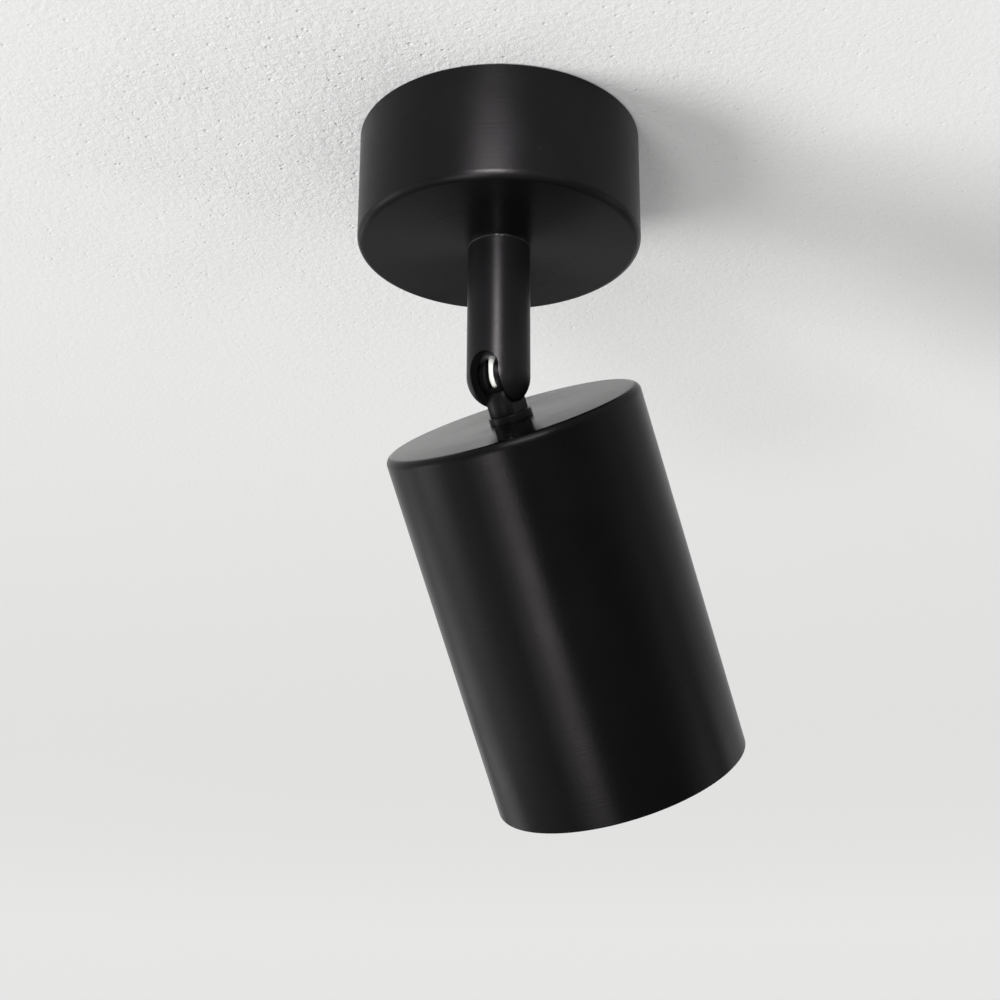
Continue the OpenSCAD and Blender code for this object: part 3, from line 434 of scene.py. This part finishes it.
block_faces = [(0, 1, 3, 2), (4, 6, 7, 5), (0, 4, 5, 1), (2, 3, 7, 6), (0, 2, 6, 4), (1, 5, 7, 3)]
for side in (-1, 1):
    block = [(x, side * y, z) for x in (-past_neck, past_neck) for y in (flat_half, past_neck)
             for z in (shoulder_z - 0.01, -4.85)]
    cut(neck, shape("flat_cutter", block, block_faces, head))
block = [(x, y, z) for x in (-past_neck, past_neck) for y in (-saw_half, saw_half)
         for z in (saw_floor - 0.01, past_neck)]
cut(neck, shape("saw_cutter", block, block_faces, head))
break_edges(neck, 0.18)
lean_axis = tuple(to_lean @ leaning @ Vector((0, 0, 1)))
neck_black = satin_coat("blackened_neck", "#0b0b0c", "#111112", 0.33, pivot, lean_axis)
neck.data.materials.append(neck_black)
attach(neck, "head")
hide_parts("ball_neck")

shade_top, collar_hole, collar_radius, collar_break = -13.6, 5.0, 6.9, 0.3
collar_section = ([(collar_hole, shade_top), (collar_radius, shade_top)]
                  + arc(collar_radius - collar_break, shoulder_z - collar_break, collar_break, 0, 90, 4)
                  + [(collar_hole, shoulder_z)])
collar = turned("collar_ring", collar_section, head, 144)
collar.data.materials.append(neck_black)
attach(collar, "head")
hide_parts("neck_collar")


# Sleeve
# Silicone coated glass fibre sleeving round the three cores. It runs down the nipple and the stem, comes
# out beside the ball in the slot and goes through the saw cut into the neck.
def along(route, steps):
    """Points on a smooth line through the route's points."""
    points = [Vector(p) for p in route]
    padded = [points[0]] + points + [points[-1]]
    line = []
    for a, b, c, d in zip(padded, padded[1:], padded[2:], padded[3:]):
        for k in range(steps):
            t = k / steps
            line.append(0.5 * (2 * b + (c - a) * t + (2 * a - 5 * b + 4 * c - d) * t * t
                               + (3 * b - a - 3 * c + d) * t * t * t))
    return line + [points[-1]]


def drawn_tube(name, route, radius, steps, sides=20):
    """A round tube along a route in millimetres, with closed ends."""
    line = along(route, steps)
    points, faces, across = [], [], Vector((0, 1, 0.01))
    for i, centre in enumerate(line):
        way = (line[min(i + 1, len(line) - 1)] - line[max(i - 1, 0)]).normalized()
        across = (across - way * across.dot(way)).normalized()
        other = way.cross(across)
        angles = [2 * math.pi * k / sides for k in range(sides)]
        points += [centre + radius * (across * math.cos(a) + other * math.sin(a)) for a in angles]
    last = len(line) - 1
    for i in range(last):
        near, far = i * sides, (i + 1) * sides
        faces += [(near + k, near + (k + 1) % sides, far + (k + 1) % sides, far + k) for k in range(sides)]
    faces += [tuple(range(sides)), tuple(last * sides + k for k in range(sides - 1, -1, -1))]
    return shape(name, points, faces, Matrix.Identity(4), 50)


def in_head(sideways, down):
    """A point given across and down the neck, in the plane of the lean, from the ball's centre."""
    return ball.inverted() @ head @ Vector((sideways * MM, 0, -down * MM)) / MM


def beside(sideways, up):
    """A point given across and up the stem, in the plane of the lean, from the ball's centre."""
    return to_lean @ Vector((sideways, 0, up))


sleeve_route = ([beside(0, z) for z in (56.85, 50, 40, 30, 20, 16, 15, 14)]
                + [beside(-0.8, 11.5), beside(-2.2, 8.5), beside(-3.3, 5.2), beside(-3.7, 2.4)]
                + [in_head(-3.4, -0.6), in_head(-3.1, 1.8), in_head(-2, 4.2), in_head(-0.7, 6.6)]
                + [in_head(0, d) for d in (8.4, 9.2, 10, 14, 20, 25.4)])
sleeve_route = [p + Vector((0, 0, pivot_z)) for p in sleeve_route]
sleeve_radius = 1.25
sleeve = drawn_tube("white_sleeve", sleeve_route, sleeve_radius, 6)
silicone_white = plastic("silicone_coated_sleeving", "#f2f1ec", "#e4e2dc", 0.45, 0.5, 0.03)
sleeve.data.materials.append(silicone_white)
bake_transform(sleeve)
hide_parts("stem_sleeve", "joint_sleeve", "neck_sleeve")


# Shade
# A cylinder spun from 1.2 mm metal with a 2.5 mm radius at its closed end, trimmed and rounded at its mouth,
# and painted like the canopy. The stud's nut clamps it with the lampholder's bracket.
shade_radius, shade_inside, shade_floor, mouth_z, stud_hole = 41.2, 40.0, -15.1, -135, 5.1
shade_bend, inner_bend, mouth_round = 2.5, 1.3, 0.6
shade_section = ([(stud_hole, shade_top), (20, shade_top)]
                 + arc(shade_radius - shade_bend, shade_top - shade_bend, shade_bend, 90, 0, 14)
                 + [(shade_radius, -60), (shade_radius, -100)]
                 + arc(shade_inside + mouth_round, mouth_z + mouth_round, mouth_round, 0, -180, 10)
                 + [(shade_inside, -100), (shade_inside, -60)]
                 + arc(shade_inside - inner_bend, shade_floor - inner_bend, inner_bend, 0, 90, 8)
                 + [(20, shade_floor), (stud_hole, shade_floor)])
shade = turned("shade_cylinder", shade_section, head, 288)
# its flat top is pressed smooth, down to 0.2 mm below it
black_on_shade = satin_coat("satin_black_paint_on_shade", "#030303", "#060607", 0.36, pivot, lean_axis,
                            (shade_top - 0.2) * MM)
shade.data.materials.append(black_on_shade)
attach(shade, "head")
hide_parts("shade")


# Lampholder
# Steatite, pressed and fired unglazed, on a bent steel bracket under the shade's top.
steatite = plastic("unglazed_steatite", "#e8e2d3", "#dcd5c4", 0.62, 0.6, 0.02, 0.4)
coat(["lampholder"], steatite)


# Reflector lamp
# A pressed aluminium body with a moulded base, bright pins and a frosted glass front over the light sources.
lamp_white = plastic("moulded_lamp_base", "#eeeeeb", "#e2e2de", 0.38, 0.8, 0.01)
coat(["lamp_cap"], lamp_white)
coat(["lamp_pins"], zinc)
shell = new_material("brushed_aluminium")
shell_at = add_node(shell, "TexCoord").outputs["Object"]
# grain of the pressed metal, 1.1 mm, coarser than real
shell_grain = add_node(shell, "TexNoise", {"Vector": shell_at, "Scale": 1 / (1.1 * MM),
                                           "Detail": 3}).outputs["Fac"]
bare_metal(shell, shell_grain, "#c9cacb", "#dedfe0", shell_grain, 0.3, 0.45)
coat(["lamp_body"], shell)
phosphor = plastic("white_board_and_phosphor", "#f3ecc8", "#ece6d0", 0.5, 0.6, 0.01)
coat(["lamp_board"], phosphor)

frosted = new_material("frosted_glass")
frost_at = add_node(frosted, "TexCoord").outputs["Object"]
# grain of the frosting, 0.7 mm, coarser than real
frost = add_node(frosted, "TexNoise", {"Vector": frost_at, "Scale": 1 / (0.7 * MM),
                                       "Detail": 3}).outputs["Fac"]
frost_bump = add_node(frosted, "Bump", {"Height": frost, "Strength": 0.4, "Distance": 0.00004}).outputs[0]
frost_rough = add_node(frosted, "MapRange", {"Value": frost, "To Min": 0.3, "To Max": 0.5}).outputs[0]
glass = add_node(frosted, "BsdfPrincipled", {"Base Color": linear("#f4f7f8"), "Roughness": frost_rough,
                                             "IOR": 1.5, "Transmission Weight": 0.75,
                                             "Normal": frost_bump}).outputs[0]
add_node(frosted, "OutputMaterial", {"Surface": glass})
coat(["lamp_lens"], frosted)


# Light of the room
# Daylight from windows on the left, soft lamps in front and below, and light that walls and the ceiling in
# front throw back. Some lights are kept to the ceiling or off it, as one set for both needs the whole room.
room = bpy.data.worlds.new("room")
room.use_nodes = True
room.node_tree.nodes["Background"].inputs["Color"].default_value = linear("#ffffff")
room.node_tree.nodes["Background"].inputs["Strength"].default_value = 0.336
bpy.context.scene.world = room
bpy.context.scene.view_settings.view_transform = "Standard"


def group(name, things, state="INCLUDE"):
    """A group of pieces that a light shines on, or keeps off."""
    pieces = bpy.data.collections.new(name)
    for number, thing in enumerate(things):
        pieces.objects.link(thing)
        pieces.collection_objects[number].light_linking.link_state = state
    return pieces


def shine(name, power, azimuth, elevation, distance, width, height, pieces, kind="AREA", down=False):
    """A soft light on some pieces, facing the object or straight down. Its power is in watts, or watts per
    square metre for a sun; azimuth 0 is the front and minus is left, in degrees; distance, width and height
    are in metres, with height 0 for a round one, and a sun's width is in degrees."""
    data = bpy.data.lights.new(name, kind)
    data.energy = power
    if kind == "SUN":
        data.angle = math.radians(width)
    else:
        data.shape, data.size, data.size_y = "RECTANGLE" if height else "DISK", width, height or width
    out = bpy.data.objects.new(name, data)
    a, e = math.radians(azimuth), math.radians(elevation)
    back = Vector((math.sin(a) * math.cos(e), -math.cos(a) * math.cos(e), math.sin(e)))
    turn = Matrix.Identity(4) if down else back.to_track_quat("Z", "Y").to_matrix().to_4x4()
    out.matrix_world = Matrix.Translation(back * distance + Vector((0, 0, -0.1))) @ turn
    out.light_linking.receiver_collection = pieces
    bpy.context.scene.collection.objects.link(out)


plain = group("ceiling_alone", [ceiling])
things = group("all_but_the_ceiling", [ceiling], "EXCLUDE")
upper = group("canopy_and_stem", [canopy, stem])
cup = group("canopy_alone", [canopy])
bar = group("stem_alone", [stem])
shine("window_on_ceiling", 2.26, -72, -33, 2, 30, 0, plain, "SUN")
shine("lamp_under_ceiling", 0.5, -113.5, -86.2, 0.756, 0.45, 0, plain)
shine("lamp_near_ceiling", 2.38, -23.2, -46.4, 1.105, 0.35, 0, plain)
shine("window_on_fitting", 0.623, -77, -27, 2, 42, 0, things, "SUN")
shine("lamp_in_front_below", 3.95, -23.2, -46.4, 1.105, 0.35, 0, things)
shine("lamp_left_of_front", 3.45, -36, -50, 1.105, 0.6, 0, things)
shine("wall_behind", 4.5, 180, -28, 2.6, 3.0, 1.2, things)
shine("window_back_left", 7.2, -130, -14, 2.6, 1.4, 1.0, things)
shine("window_left", 20.5, -95, -14, 2.6, 1.2, 1.0, things)
shine("wall_back_right", 16.3, 150, 6, 2.6, 3.0, 1.0, things)
shine("wall_right", 5.6, 100, -20, 2.6, 1.0, 1.2, things)
shine("bright_patch_of_ceiling", 2, -3.8, 18.2, 0.3165, 0.15, 0.2, things, down=True)
shine("window_front", 245, -4, -4, 2.6, 0.95, 0.4, cup)
shine("window_front_on_stem", 400, -5, -4, 2.6, 0.5, 0.4, bar)
shine("wall_front_right", 11, 30, -15, 2.6, 2.0, 0.7, upper)
